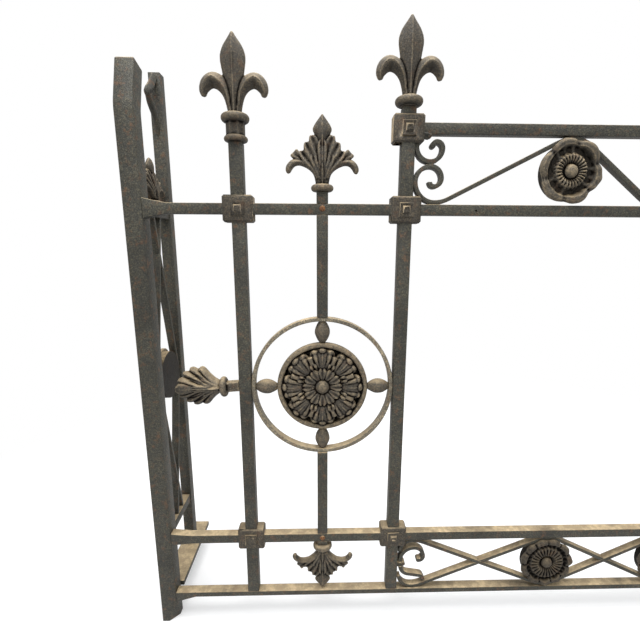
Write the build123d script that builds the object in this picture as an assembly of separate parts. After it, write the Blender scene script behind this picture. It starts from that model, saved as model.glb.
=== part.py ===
from build123d import *
import math
import os

# Wrought iron balcony railing: a shallow three-bay front with a return at each end.
# X runs along the front, Y from the front towards the wall, Z up.
# The origin is the middle of the underside of the left corner post's foot.

# Bay widths, post centre to post centre
corner_bay = 196.0
ring_bay = 319.0
centre_bay = 1000.0

# Bars
corner_size = 35.0
post_size = 25.0
middle_size = 22.0
rail_size = 20.0
bottom_rail_deep = 22.0
bottom_rail_tall = 12.0
scroll_thick = 8.0
scroll_deep = 16.0
ring_thick = 8.0
ring_deep = 20.0

# Heights
foot_height = 65.0
top_drum_r = 53.8
low_drum_r = 56.3
panel_height = 691.0
corner_top = 1190.0
corner_bend_length = 95.0
corner_bend_angle = 16.0
outer_post_top = 1045.0
wall_post_top = 1217.0

# Clearances
seat = 0.2
lap_seat = 0.1

# Collar blocks at the crossings
clamp_wide = 58.0
clamp_tall = 50.0
clamp_wall = 3.0
clamp_boss = 26.0

# Ring panel
medallion_od = 188.0
medallion_rim = 11.0
medallion_deep = 20.0
bead_dia = 31.0

# Return to the wall
return_bar_wide = 50.0
return_bar_tall = 12.0
wall_reach = 68.0

# Rail ends forged out against the corner posts
flare_length = 45.0
upper_flare = 38.0
lower_flare = 29.0
bottom_flare = 26.0

# Ornament
rosette_r = 61.0
rosette_thick = 9.0
top_rosette_inset = 311.0
low_rosette_inset = 361.0
top_spiral = (37.5, 27.5, 22.0, 14.0, 8.0)
side_spiral = (26.0, 23.0, 12.0, 7.0)
low_spiral = (31.0, 22.0, 11.0)
wave_bend = 60.0
low_end_bend = 30.0
spiral_gap = 3.0
fleur_height = 142.0
fleur_neck = 41.0
fleur_short_neck = 10.0
fleur_width = 126.0
leaf_height = 130.0
short_leaf_height = 92.0
side_leaf_height = 108.0
side_leaf_width = 84.0
side_leaf_fold = 1.0
leaf_width = 130.0
return_crossing = 270.0

# Setting out along X
x_left = 0.0
x_p1 = x_left + corner_bay
x_m1 = x_p1 + ring_bay / 2
x_p2 = x_p1 + ring_bay
x_p3 = x_p2 + centre_bay
x_m2 = x_p3 + ring_bay / 2
x_p4 = x_p3 + ring_bay
x_right = x_p4 + corner_bay
x_mid = (x_left + x_right) / 2

# Setting out along Y
y_face = -corner_size / 2
y_post = y_face + post_size / 2
y_rail = y_face + rail_size / 2
y_bottom = y_face + bottom_rail_deep / 2
y_middle = y_face + middle_size / 2
y_lap = y_face + rail_size / 2
y_ring = y_face + 2.0 + ring_deep / 2
y_scroll = y_face + 3.0 + scroll_deep / 2

# Setting out along Z
top_clear = 2 * (top_drum_r + seat + scroll_thick)
low_clear = 2 * (low_drum_r + seat + scroll_thick)
return_clear = 2 * (top_drum_r + seat + scroll_thick)
z_bottom = foot_height + bottom_rail_tall
z_low = z_bottom + low_clear + rail_size / 2
z_up = z_low + rail_size / 2 + panel_height + rail_size / 2
z_top = z_up + rail_size / 2 + top_clear + rail_size / 2
z_low_panel = z_bottom + low_clear / 2
z_top_panel = z_up + rail_size / 2 + top_clear / 2
z_ring = (z_low + z_up) / 2
inner_post_top = z_top + clamp_tall / 2 + 12.0

# Return setting out along Y
y_return_front = corner_size / 2
y_wall_post = y_return_front + return_clear + post_size / 2
y_wall = y_wall_post + post_size / 2 + wall_reach

ring_r = ring_bay / 2 - post_size / 2 - seat
medallion_r = medallion_od / 2
bead_length = ring_r - ring_thick - medallion_r - 2 * seat
top_wave_r = top_drum_r + seat + scroll_thick / 2
low_wave_r = low_drum_r + seat + scroll_thick / 2


def block(x0, x1, y0, y1, z0, z1):
    """Square bar or region between three pairs of limits."""
    place = Pos((x0 + x1) / 2, (y0 + y1) / 2, (z0 + z1) / 2)
    return place * Box(abs(x1 - x0), abs(y1 - y0), abs(z1 - z0))


def upright(x, y, size, z0, z1):
    """Square upright bar."""
    return block(x - size / 2, x + size / 2, y - size / 2, y + size / 2, z0, z1)


def across(part):
    """The same piece at the other end of the railing."""
    return mirror(part, Plane.YZ.offset(x_mid))


def halve(front, back, y_cut):
    """Half-lap two crossing bars: front keeps its front half and back its back half."""
    shared = front & back
    if shared is None or not shared.solids():
        return front, back
    reach = 5000.0
    ahead = block(-reach, reach, -reach, y_cut + lap_seat, -reach, reach)
    behind = block(-reach, reach, y_cut - lap_seat, reach, -reach, reach)
    return front - (shared & behind), back - (shared & ahead)


def chain(start, heading, moves):
    """Tangent chain of lines (length, 0) and arcs (radius, degrees), left turns positive."""
    edges = []
    point = Vector(*start)
    angle = heading
    for size, turn in moves:
        if turn == 0:
            edge = PolarLine(point, size, angle)
        else:
            direction = Vector(1, 0).rotate(Axis.Z, angle)
            edge = JernArc(point, direction, size, turn)
            angle = angle + turn
        point = edge @ 1
        edges.append(edge)
    return Wire(edges)


def strap(path, thick, deep):
    """Flat bar bent edgewise along a path drawn in the XY plane, centred on that plane."""
    start = path @ 0
    along = path % 0
    side = Plane(origin=start, x_dir=Vector(0, 0, 1), z_dir=along)
    section = side * Rectangle(deep, thick)
    return sweep(section, path=path)


def to_front(part, x, y, z):
    """Stand a piece drawn in XY up in the front plane with its origin at x, y, z."""
    return Pos(x, y, z) * Rot(90, 0, 0) * part


def cross_tangent(run, drop, r1, r2):
    """Turn angle and length of the straight between two opposite bends."""
    total = r1 + r2
    rise = total - drop
    reach = math.hypot(run, rise)
    angle = math.degrees(math.asin(total / reach) - math.atan2(rise, run))
    return angle, math.sqrt(reach ** 2 - total ** 2)


def dome(r, height, base):
    """Low round boss with its back at z = 0."""
    low = Cylinder(r, base, align=(Align.CENTER, Align.CENTER, Align.MIN))
    crown = Pos(0, 0, base) * Cone(r, r * 0.45, height - base, align=(Align.CENTER, Align.CENTER, Align.MIN))
    return low + crown


def torus_band(r_out, tall, r_in):
    """Rounded collar ring about Z with its middle at z = 0."""
    outline = Polyline((r_in, -tall / 2), (r_out - tall * 0.3, -tall / 2), (r_out, -tall * 0.15),
                       (r_out, tall * 0.15), (r_out - tall * 0.3, tall / 2), (r_in, tall / 2),
                       close=True)
    return revolve(make_face(Plane.XZ * outline), Axis.Z)


def faceted(rings):
    """Closed solid of flat facets through a row of four-cornered rings of points."""
    faces = []
    for low, high in zip(rings, rings[1:]):
        for i in range(4):
            j = (i + 1) % 4
            faces.append(make_face(Polyline(low[i], low[j], high[j], close=True)))
            faces.append(make_face(Polyline(low[i], high[j], high[i], close=True)))
    for ring in (rings[0], rings[-1]):
        faces.append(make_face(Polyline(ring[0], ring[1], ring[2], close=True)))
        faces.append(make_face(Polyline(ring[0], ring[2], ring[3], close=True)))
    return Solid(Shell(faces))


def petal(stations, deep_ratio, fold=0.0):
    """Ridged curling petal through stations (x, z, width) in XZ, swept back by fold."""
    count = len(stations)
    rings = []
    for i in range(count):
        x0, z0, _ = stations[max(i - 1, 0)]
        x1, z1, _ = stations[min(i + 1, count - 1)]
        x, z, wide = stations[i]
        length = math.hypot(x1 - x0, z1 - z0)
        side_x = (z1 - z0) / length * wide / 2
        side_z = -(x1 - x0) / length * wide / 2
        thick = wide / 2 * deep_ratio
        y = fold * x
        rings.append([(x, y - thick, z), (x + side_x, y, z + side_z),
                      (x, y + thick, z), (x - side_x, y, z - side_z)])
    return faceted(rings)


def spear(shape, deep):
    """Pointed middle petal through stations (height, width), deep front to back at its widest."""
    widest = max(wide for _, wide in shape)
    return petal([(0, z, wide) for z, wide in shape], deep / widest)


def both_sides(part):
    """A petal and its mirror image about the ornament's own axis."""
    return part + mirror(part, Plane.YZ)


def fleur(neck_height):
    """Cast fleur-de-lis: neck between two bands, a spear and two curled petals."""
    z = neck_height
    across_curl = fleur_width / 126.0
    neck = extrude(RectangleRounded(33, 33, 8), neck_height)
    foot_band = Pos(0, 0, 5.5) * torus_band(22, 11, 5)
    band = Pos(0, 0, z) * torus_band(26, 15, 5)
    shape = [(0, 24), (50, 32), (73, 40), (101, 47), (119, 35), (fleur_height, 3)]
    centre = Pos(0, 0, z) * spear(shape, 24)
    stations = [(7, 4, 15), (9, 24, 16), (14, 44, 19), (25, 59, 22), (37, 64, 24), (48, 57, 21),
                (54, 45, 15), (52, 33, 5)]
    curl = petal([(x * across_curl, z + rise, wide) for x, rise, wide in stations], 0.95)
    whole = neck + band + centre + both_sides(curl)
    if neck_height > 20:
        whole = whole + foot_band
    return whole


def acanthus(height, width, fold=0.0):
    """Cast leaf ornament with its collar centred on z = 0 and its tip at z = height."""
    k = height / 130.0
    w = width / 132.0
    collar = torus_band(21.5, 13, 4)
    shape = [(0, 25), (25 * k, 27), (48 * k, 42 * w), (66 * k, 42 * w), (77 * k, 24 * w),
             (97 * k, 37 * w), (109 * k, 27 * w), (123 * k, 9), (height, 3)]
    centre = spear(shape, 20)
    arms = [(5, 8, 16), (14, 25, 17), (27, 39, 16), (43, 46, 15), (57, 42, 15), (61, 32, 12),
            (56, 26, 7)]
    spikes = [(24, 38, 12), (39, 49, 13), (50, 57, 13), (57, 62, 4)]
    low = [(6, 30, 17), (18, 46, 21), (28, 57, 19), (34, 64, 13), (35, 70, 4)]
    high = [(4, 50, 15), (14, 68, 19), (21, 79, 16), (25, 87, 4)]
    whole = collar + centre
    for row in (arms, spikes, low, high):
        lobe = petal([(x * w, z * k, wide) for x, z, wide in row], 0.8, fold)
        whole = whole + both_sides(lobe)
    return whole


def petal_disc(r, count, thick, bite):
    """Scalloped disc in XY with its back at z = 0."""
    lobe_r = r * math.sin(math.pi / count) * bite
    face = Circle(r - lobe_r)
    for place in PolarLocations(r - lobe_r, count):
        face = face + place * Circle(lobe_r)
    return extrude(face, thick)


def rosette(drum_r, drum_deep):
    """Cast rosette facing +Z, its drum behind z = 0."""
    disc = petal_disc(rosette_r, 6, rosette_thick - 3, 1.12)
    disc = chamfer(disc.faces().sort_by(Axis.Z)[-1].edges(), 2)
    boss = dome(14, 12, 6)
    drum = Cylinder(drum_r, drum_deep, align=(Align.CENTER, Align.CENTER, Align.MAX))
    return disc + boss + drum


def clamp(x, z, post, rail):
    """Cast collar block over a crossing, cut by the two bars that pass through it."""
    deep = post_size + 2 * clamp_wall
    body = Pos(x, y_post, z) * Box(clamp_wide, deep, clamp_tall)
    body = chamfer(body.edges(), 3.5)
    front = y_post - deep / 2
    boss = Pos(x, front - 1.0, z) * Box(clamp_boss, 3.0, clamp_boss)
    boss = chamfer(boss.faces().sort_by(Axis.Y)[0].edges(), 1.2)
    knob = Pos(x, front - 3.5, z) * Box(14, 5, 14)
    knob = chamfer(knob.faces().sort_by(Axis.Y)[0].edges(), 3)
    body = body + boss + knob
    hole = post + rail
    return body - hole


def flared_rail(x0, x1, z, tall, end_tall, deep, y, low_only):
    """Rail between two corner posts with its ends forged out taller."""
    top = z + tall / 2
    low = z - tall / 2
    extra = end_tall - tall
    up = 0 if low_only else extra / 2
    down = extra if low_only else extra / 2
    third = flare_length * 0.45
    left = [(x0, top + up), (x0 + third, top + up * 0.5), (x0 + flare_length, top)]
    right = [(x1 - flare_length, top), (x1 - third, top + up * 0.5), (x1, top + up)]
    under_right = [(x1, low - down), (x1 - third, low - down * 0.5), (x1 - flare_length, low)]
    under_left = [(x0 + flare_length, low), (x0 + third, low - down * 0.5), (x0, low - down)]
    points = left + right + under_right + under_left
    tidy = []
    for point in points:
        if point not in tidy:
            tidy.append(point)
    outline = Polyline(*tidy, close=True)
    face = make_face(Plane.XZ * outline)
    return Pos(0, y - deep / 2, 0) * extrude(face, deep, dir=(0, 1, 0))


def make_rails():
    """The four rails of the front."""
    x0 = x_left + corner_size / 2
    x1 = x_right - corner_size / 2
    bottom = flared_rail(x0, x1, foot_height + bottom_rail_tall / 2, bottom_rail_tall,
                         bottom_flare, bottom_rail_deep, y_bottom, True)
    low = flared_rail(x0, x1, z_low, rail_size, lower_flare, rail_size, y_rail, False)
    up = flared_rail(x0, x1, z_up, rail_size, upper_flare, rail_size, y_rail, False)
    over = clamp_wide / 2 - 4
    top = block(x_p2 - over, x_p3 + over, y_face, y_face + rail_size,
                z_top - rail_size / 2, z_top + rail_size / 2)
    return bottom, low, up, top


def corner_post():
    """Heavy square corner post, bent back at its head."""
    straight = corner_top - corner_bend_length
    bend_r = 60.0
    rest = corner_bend_length - bend_r * math.radians(corner_bend_angle)
    path = chain((0, 0), 0, [(straight, 0), (bend_r, corner_bend_angle), (rest, 0)])
    upward = Plane(origin=(x_left, 0, 0), x_dir=(0, 0, 1), z_dir=(-1, 0, 0))
    post = upward * strap(path, corner_size, corner_size)
    head_face = post.faces().sort_by(Axis.Z)[-1]
    post = fillet(head_face.edges(), 5)
    edge = corner_size / 2
    bevel = 20.0
    top = (edge + 0.5, -edge - 0.5, foot_height - 4)
    outline = Polyline((edge + 0.5, -edge - 0.5), (edge + 0.5, -edge + bevel),
                       (edge - bevel, -edge - 0.5), close=True)
    foot = make_face(Pos(0, 0, -1) * outline)
    corners = [(edge + 0.5, -edge - 0.5, -1), (edge + 0.5, bevel - edge, -1),
               (edge - bevel, -edge - 0.5, -1)]
    sides = [foot]
    for i in range(3):
        sides.append(make_face(Polyline(corners[i], corners[(i + 1) % 3], top, close=True)))
    return post - Solid(Shell(sides))


def ring():
    """Flat bar ring, tangent to the posts at its sides."""
    face = Circle(ring_r) - Circle(ring_r - ring_thick)
    return to_front(extrude(face, ring_deep / 2, both=True), x_m1, y_ring, z_ring)


def medallion():
    """Rimmed cast medallion with a carved rosette inside."""
    inner = medallion_r - medallion_rim
    rim = extrude(Circle(medallion_r) - Circle(inner), medallion_deep)
    back = Cylinder(inner, 5, align=(Align.CENTER, Align.CENTER, Align.MIN))
    leaves = Pos(0, 0, 5) * petal_disc(inner - 3, 8, 4, 1.1)
    flower = Pos(0, 0, 9) * petal_disc(44, 8, 4, 1.1)
    boss = Pos(0, 0, 13) * dome(15, 9, 4)
    whole = rim + back + leaves + flower + boss
    return to_front(whole, x_m1, y_ring + medallion_deep / 2, z_ring)


def bead():
    """Olive bead along X, centred on the origin."""
    half = bead_length / 2
    r = bead_dia / 2
    outline = Polyline((-half, 0), (-half, 5.5), (-half * 0.4, r * 0.96), (half * 0.4, r * 0.96),
                       (half, 5.5), (half, 0), close=True)
    return revolve(make_face(outline), Axis.X)


def beads():
    """The four beads between the medallion and the ring."""
    olive = bead()
    middle = medallion_r + seat + bead_length / 2
    parts = []
    for angle in (0, 90, 180, 270):
        at = Pos(x_m1, y_ring, z_ring) * Rot(0, angle, 0) * Pos(middle, 0, 0)
        parts.append(at * olive)
    return Compound(children=parts)


def top_frieze():
    """Scroll bar of the top frieze, spiral to spiral, and its two small upper spirals."""
    z_floor = z_up + rail_size / 2 + seat + scroll_thick / 2
    x_turn = post_size / 2 + seat + scroll_thick / 2 + top_spiral[0]
    peak = z_top_panel + top_wave_r
    outer = cross_tangent(top_rosette_inset - x_turn, peak - z_floor, top_wave_r, wave_bend)
    half_bay = centre_bay / 2
    inner = cross_tangent(half_bay - top_rosette_inset, peak - z_floor, top_wave_r, wave_bend)
    # Drawn from the mid-bay dip to the eye of the left spiral
    moves = [(wave_bend, -inner[0]), (inner[1], 0), (top_wave_r, inner[0]), (top_wave_r, outer[0]),
             (outer[1], 0), (wave_bend, -outer[0])]
    moves = moves + [(r, -90) for r in top_spiral]
    left = chain((half_bay, z_floor), 180, moves)
    right = mirror(left, Plane.YZ.offset(half_bay))
    bar = to_front(strap(left, scroll_thick, scroll_deep), x_p2, y_scroll, 0)
    other = to_front(strap(right, scroll_thick, scroll_deep), x_p2, y_scroll, 0)
    spiral_top = z_floor + top_spiral[0] + top_spiral[1]
    z_turn = spiral_top + scroll_thick + seat + side_spiral[0]
    z_start = z_top - clamp_tall / 2
    x_start = post_size / 2 + seat + scroll_thick / 2
    small = [(z_start - z_turn, 0)] + [(r, 90) for r in side_spiral]
    upper = strap(chain((x_start, z_start), -90, small), scroll_thick, scroll_deep)
    upper = to_front(upper, x_p2, y_scroll, 0)
    return bar + other, upper


def low_wave():
    """One wave bar of the lower frieze, drawn with its left end up."""
    z_floor = z_bottom + seat + scroll_thick / 2
    z_roof = z_low - rail_size / 2 - seat - scroll_thick / 2
    x_turn = post_size / 2 + seat + scroll_thick / 2 + low_end_bend
    dip = z_low_panel - low_wave_r
    outer = cross_tangent(low_rosette_inset - x_turn, z_roof - dip, low_wave_r, wave_bend)
    run = centre_bay - 2 * low_rosette_inset
    inner = cross_tangent(run, 2 * low_wave_r, low_wave_r, low_wave_r)
    tail = [(wave_bend, -outer[0]), (low_end_bend, -85)]
    head = [(low_end_bend, -85), (wave_bend, -outer[0])]
    moves = head + [(outer[1], 0), (low_wave_r, outer[0]), (low_wave_r, inner[0]), (inner[1], 0),
                    (low_wave_r, -inner[0]), (low_wave_r, -outer[0]), (outer[1], 0)]
    moves = moves + [(wave_bend, outer[0]), (low_end_bend, 85)]
    start = (x_turn - low_end_bend * math.sin(math.radians(85)),
             z_roof - low_end_bend * (1 - math.cos(math.radians(85))))
    return strap(chain(start, 85, moves), scroll_thick, scroll_deep)


def low_scroll(bent):
    """C-scroll held to the post's side between the wave bars; bent is its damaged form."""
    back = post_size / 2 + seat + spiral_gap + scroll_thick / 2
    rest = 10.0
    upper = [(r, -90) for r in low_spiral]
    bar = strap(chain((back, z_low_panel), 90, [(rest, 0)] + upper), scroll_thick, scroll_deep)
    if bent:
        moves = [(6, 0), (22, 80), (28, 0), (9, -80)]
        lower = strap(chain((back, z_low_panel), -90, moves), scroll_thick, scroll_deep)
    else:
        lower = mirror(bar, Plane.XZ.offset(-z_low_panel))
    wide = back + scroll_thick / 2 + 2 - post_size / 2 - seat
    band = Pos(post_size / 2 + seat + wide / 2, z_low_panel, 0) * Box(wide, 11, scroll_deep + 3)
    return bar + lower + band


def return_wave():
    """One bar of the upright guilloche, drawn in XY with X as the height."""
    reach = panel_height / 2 - seat
    angle = math.degrees(math.asin(top_wave_r / return_crossing))
    length = (reach - top_wave_r * math.sin(math.radians(angle))) / math.cos(math.radians(angle))
    half = chain((0, top_wave_r), 0, [(top_wave_r, -angle), (length, 0)])
    bar = strap(half, scroll_thick, scroll_deep)
    bar = bar + mirror(bar, Plane.YZ)
    limit = Box(2 * reach, return_clear, scroll_deep * 2)
    return bar & limit


def to_return(part):
    """Stand a piece drawn in XY (X = height) up in the left return, facing outwards (-X)."""
    y_mid = y_return_front + return_clear / 2
    plane = Plane(origin=(x_left, y_mid, z_ring), x_dir=(0, 0, 1), z_dir=(-1, 0, 0))
    return plane * part


def wall_post():
    """Square post near the wall with a forged barb at its head."""
    post = upright(x_left, y_wall_post, post_size, z_bottom + seat, wall_post_top)
    front = y_wall_post - post_size / 2
    top = wall_post_top - 18
    outline = Polyline((front + 3, top), (front - 30, top - 4), (front - 50, top - 22),
                       (front - 47, top - 40), (front - 30, top - 26), (front + 3, top - 24),
                       close=True)
    barb = extrude(make_face(Plane.YZ * outline), 7, both=True)
    return post + barb


def pendant_leaf():
    """Leaf hanging under the lower rail, its tip on the bottom rail."""
    height = low_clear - 16.5 - seat
    leaf = acanthus(height, leaf_width)
    return Pos(x_m1, y_middle, z_low - rail_size / 2 - 16.5) * Rot(0, 180, 0) * leaf


def side_leaf():
    """Leaf on the left side of the outer post, pointing at the corner post."""
    out = 45.0
    leaf = Rot(0, -90, 0) * Rot(0, 0, 0) * acanthus(side_leaf_height, side_leaf_width, side_leaf_fold)
    stub = Rot(0, -90, 0) * Cylinder(9, out, align=(Align.CENTER, Align.CENTER, Align.MAX))
    whole = Pos(x_p1 - out, y_middle, z_ring) * (leaf + stub)
    gone = block(x_p1 - post_size / 2 - seat, x_p1 + 200, -100, 100, z_ring - 100, z_ring + 100)
    return whole - gone


parts = {}

bottom_rail, lower_rail, upper_rail, top_rail = make_rails()
outer_post = upright(x_p1, y_post, post_size, z_bottom + seat, outer_post_top)
inner_post = upright(x_p2, y_post, post_size, z_bottom + seat, inner_post_top)
middle_top = upright(x_m1, y_middle, middle_size, z_ring + ring_r + seat, z_up + rail_size / 2 + 22)
middle_low = upright(x_m1, y_middle, middle_size, z_low - rail_size / 2 - 10, z_ring - ring_r - seat)

# Half-laps where posts, middle bars and rails cross
left_posts = {"left_outer_post": outer_post, "left_inner_post": inner_post,
              "left_middle_bar_top": middle_top, "left_middle_bar_low": middle_low}
posts = {}
for name, post in left_posts.items():
    posts[name] = post
    posts[name.replace("left", "right")] = across(post)
for name in posts:
    lower_rail, posts[name] = halve(lower_rail, posts[name], y_lap)
    upper_rail, posts[name] = halve(upper_rail, posts[name], y_lap)
    if "inner" in name:
        top_rail, posts[name] = halve(top_rail, posts[name], y_lap)

parts["bottom_rail"] = bottom_rail
parts["lower_rail"] = lower_rail
parts["upper_rail"] = upper_rail
parts["top_rail"] = top_rail
parts.update(posts)


def clamp_set(x, post, levels):
    """All the collar blocks on one post."""
    blocks = []
    grip = upright(x, y_post, post_size + 2 * lap_seat, 0, 2000)
    for z in levels:
        reach = clamp_wide
        bar = block(x - reach, x + reach, y_face - lap_seat, y_face + rail_size + lap_seat,
                    z - rail_size / 2 - lap_seat, z + rail_size / 2 + lap_seat)
        if z == z_top:
            over = clamp_wide / 2 - 4
            bar = block(x - over - lap_seat, x + reach, y_face - lap_seat,
                        y_face + rail_size + lap_seat,
                        z - rail_size / 2 - lap_seat, z + rail_size / 2 + lap_seat)
        blocks.append(clamp(x, z, grip, bar))
    return Compound(children=blocks)


outer_clamps = clamp_set(x_p1, outer_post, (z_low, z_up))
inner_clamps = clamp_set(x_p2, inner_post, (z_low, z_up, z_top))
corner = corner_post()
outer_fleur = Pos(x_p1, y_post, outer_post_top + seat) * fleur(fleur_neck)
inner_fleur = Pos(x_p2, y_post, inner_post_top + seat) * fleur(fleur_short_neck)
leaf = Pos(x_m1, y_middle, z_up + rail_size / 2 + 28.5 + seat) * acanthus(leaf_height, leaf_width)

bar, upper = top_frieze()
block_up = block(x_p2, x_p2 + clamp_wide / 2, -100, 100, z_up - clamp_tall / 2, z_up + clamp_tall / 2)
bar = bar - block_up - across(block_up)
parts["top_frieze_wave"] = bar
parts["top_frieze_spirals"] = Compound(children=[upper, across(upper)])

wave_down = to_front(low_wave(), x_p2, y_scroll, 0)
wave_up = across(wave_down)
block_low = block(x_p2, x_p2 + clamp_wide / 2, -100, 100, z_low - clamp_tall / 2, z_low + clamp_tall / 2)
wave_down, wave_up = halve(wave_down, wave_up, y_scroll)
parts["lower_frieze_wave_a"] = wave_down - block_low
parts["lower_frieze_wave_b"] = wave_up - across(block_low)
bent_scroll = to_front(low_scroll(True), x_p2, y_scroll, 0)
whole_scroll = across(to_front(low_scroll(False), x_p2, y_scroll, 0))
parts["lower_frieze_scrolls"] = Compound(children=[bent_scroll, whole_scroll])

face_y = y_scroll - scroll_deep / 2 - seat
top_cast = rosette(top_drum_r, scroll_deep)
low_cast = rosette(low_drum_r, scroll_deep)
parts["left_top_rosette"] = to_front(top_cast, x_p2 + top_rosette_inset, face_y, z_top_panel)
parts["left_low_rosette"] = to_front(low_cast, x_p2 + low_rosette_inset, face_y, z_low_panel)

turn = return_wave()
wave_front = to_return(turn)
wave_back = to_return(mirror(turn, Plane.XZ))
shared = wave_front & wave_back
outside = block(x_left - 100, x_left + lap_seat, 0, 1000, 0, 2000)
inside = block(x_left - lap_seat, x_left + 100, 0, 1000, 0, 2000)
parts["left_return_wave_front"] = wave_front - (shared & inside)
parts["left_return_wave_back"] = wave_back - (shared & outside)
return_cast = Pos(0, 0, scroll_deep / 2 + seat) * rosette(top_drum_r, scroll_deep)
parts["left_return_rosette"] = to_return(return_cast)

y0 = y_return_front
y1 = y_wall_post - post_size / 2
half_bar = rail_size / 2
parts["left_return_lower_rail"] = block(x_left - half_bar, x_left + half_bar, y0 + seat, y1 - seat,
                                        z_low - half_bar, z_low + half_bar)
parts["left_return_upper_rail"] = block(x_left - half_bar, x_left + half_bar, y0 + seat, y1 - seat,
                                        z_up - half_bar, z_up + half_bar)
parts["left_return_bottom_bar"] = block(x_left - return_bar_wide / 2, x_left + return_bar_wide / 2,
                                        y0 + seat, y_wall, z_bottom - return_bar_tall,
                                        z_bottom)
small_leaf = Rot(0, 0, 90) * acanthus(short_leaf_height, 118)
parts["left_return_leaf"] = Pos(x_left, (y0 + y1) / 2, z_up + half_bar + 6.5 + seat) * small_leaf
parts["left_wall_post"] = wall_post()

parts["left_corner_post"] = corner
parts["left_outer_clamps"] = outer_clamps
parts["left_inner_clamps"] = inner_clamps
parts["left_outer_fleur"] = outer_fleur
parts["left_inner_fleur"] = inner_fleur
parts["left_leaf_finial"] = leaf
parts["left_pendant_leaf"] = pendant_leaf()
parts["left_side_leaf"] = side_leaf()
parts["left_ring"] = ring()
parts["left_medallion"] = medallion()
parts["left_ring_beads"] = beads()

for name in list(parts):
    twin = name.replace("left", "right")
    if twin not in parts:
        parts[twin] = across(parts[name])

os.makedirs("parts", exist_ok=True)
for name, part in parts.items():
    export_step(part, "parts/" + name + ".step")
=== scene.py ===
import math

import bmesh
import bpy
import numpy as np
from mathutils import Matrix, Vector, noise


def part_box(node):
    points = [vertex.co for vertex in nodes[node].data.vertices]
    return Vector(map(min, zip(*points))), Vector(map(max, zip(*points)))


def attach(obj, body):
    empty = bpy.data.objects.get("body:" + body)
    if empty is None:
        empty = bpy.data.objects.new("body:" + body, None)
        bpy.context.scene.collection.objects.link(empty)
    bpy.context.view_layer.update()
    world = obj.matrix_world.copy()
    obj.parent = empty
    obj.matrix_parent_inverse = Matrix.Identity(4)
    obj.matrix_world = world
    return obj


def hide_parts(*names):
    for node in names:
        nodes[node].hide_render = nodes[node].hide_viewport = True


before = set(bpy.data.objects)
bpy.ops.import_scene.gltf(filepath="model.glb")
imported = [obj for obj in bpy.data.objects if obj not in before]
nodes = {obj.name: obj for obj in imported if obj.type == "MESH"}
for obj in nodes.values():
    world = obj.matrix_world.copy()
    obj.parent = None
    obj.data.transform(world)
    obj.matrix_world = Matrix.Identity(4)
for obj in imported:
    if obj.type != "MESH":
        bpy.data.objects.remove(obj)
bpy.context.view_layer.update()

# Unseeded, the noise vectors differ from run to run
noise.seed_set(1)

bl_info = {
    "name": "Wrought iron balcony railing",
    "version": (1, 0, 0),
    "blender": (4, 5, 0),
    "location": "View3D > Sidebar > Railing",
    "description": "Castings, forged edges, weathered iron and the stage of a balcony railing",
    "category": "Object",
}

MM = 0.001
# In millimetres: where the olive beads start from the medallion's middle, half the height of a
# leaf casting's collar, the side leaf's collar from its post, and a rosette's face to its back
MEDALLION_RIM, COLLAR_HALF, SIDE_COLLAR, ROSETTE_BACK = 94.2, 6.5, 32.5, 13
DROOP = 0.07    # radians by which the side leaf hangs
QUARTER = math.pi / 2
BAR = "wrought_iron_bar"
ORNAMENT = "cast_iron_ornament"
TIMES = {"operation": "MULTIPLY"}
TIMES_PLUS = {"operation": "MULTIPLY_ADD"}

# The photograph's camera: its angles in radians, place in metres, and focal length and
# principal point in pixels of a 640 pixel frame
YAW, PITCH, ROLL = 0.0288, 0.2057, 0.0046
EYE = (0.3537, -0.8131, 0.8516)
FOCAL, CENTRE_X, CENTRE_Y, FRAME = 403.04, 332.88, 333.90, 640


def centre(node):
    """Middle of a CAD node's box, in metres."""
    low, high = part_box(node)
    return (low + high) / 2


def foot(node):
    """Middle of the underside of a CAD node's box, in metres."""
    low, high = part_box(node)
    return Vector(((low.x + high.x) / 2, (low.y + high.y) / 2, low.z))


# Setting out, read from the solids
y_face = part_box("left_outer_post")[0].y
x_mid = centre("top_rail").x
x_post = {}
for side in ("left", "right"):
    for which in ("outer", "inner"):
        x_post[side + "_" + which] = centre(side + "_" + which + "_post").x


# Settings


class RailingBars(bpy.types.PropertyGroup):
    """Forged bars."""

    edge: bpy.props.FloatProperty(
        name="Edge", description="Rounding of the bars' arrises", default=1.4 * MM, unit="LENGTH"
    )
    rivet: bpy.props.FloatProperty(
        name="Rivet", description="Radius of the rivet heads", default=5.5 * MM, unit="LENGTH"
    )
    eye: bpy.props.FloatProperty(
        name="Scroll eye", description="Radius of the bulb that ends a scroll", default=5.2 * MM,
        unit="LENGTH"
    )


class RailingCastings(bpy.types.PropertyGroup):
    """Cast ornament."""

    grain: bpy.props.FloatProperty(
        name="Grain", description="Size of the surface cells that join a casting's petals",
        default=1.4 * MM, unit="LENGTH"
    )
    petals: bpy.props.IntProperty(
        name="Petals", description="Petals of a frieze rosette", default=6, min=3, max=12
    )
    ribs: bpy.props.IntProperty(
        name="Ribs", description="Ribs round a rosette's boss", default=26, min=8, max=60
    )
    leaves: bpy.props.IntProperty(
        name="Leaves", description="Leaves round the medallion", default=8, min=4, max=16
    )


class RailingColours(bpy.types.PropertyGroup):
    """Colours of the iron, its weathering, and its painted shade and highlight."""

    bar: bpy.props.StringProperty(
        name="Bar", description="Oxidised wrought iron, sRGB hex", default="#363630"
    )
    casting: bpy.props.StringProperty(
        name="Casting", description="Oxidised cast iron, sRGB hex", default="#46423b"
    )
    # The recess colour is painted shade, laid in hollows and on what faces down
    painted_shade: bpy.props.StringProperty(
        name="Recess", description="Grime in hollows, sRGB hex", default="#12100e"
    )
    # Real dust, and also the colour of the painted top light on upward faces and of the painted
    # highlight on proud edges
    dust_and_light: bpy.props.StringProperty(
        name="Dust", description="Dust and pale rust on upward faces, sRGB hex", default="#cdb690"
    )
    rust: bpy.props.StringProperty(
        name="Rust", description="Rust patches, sRGB hex", default="#6f4c30"
    )


# Materials


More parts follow.
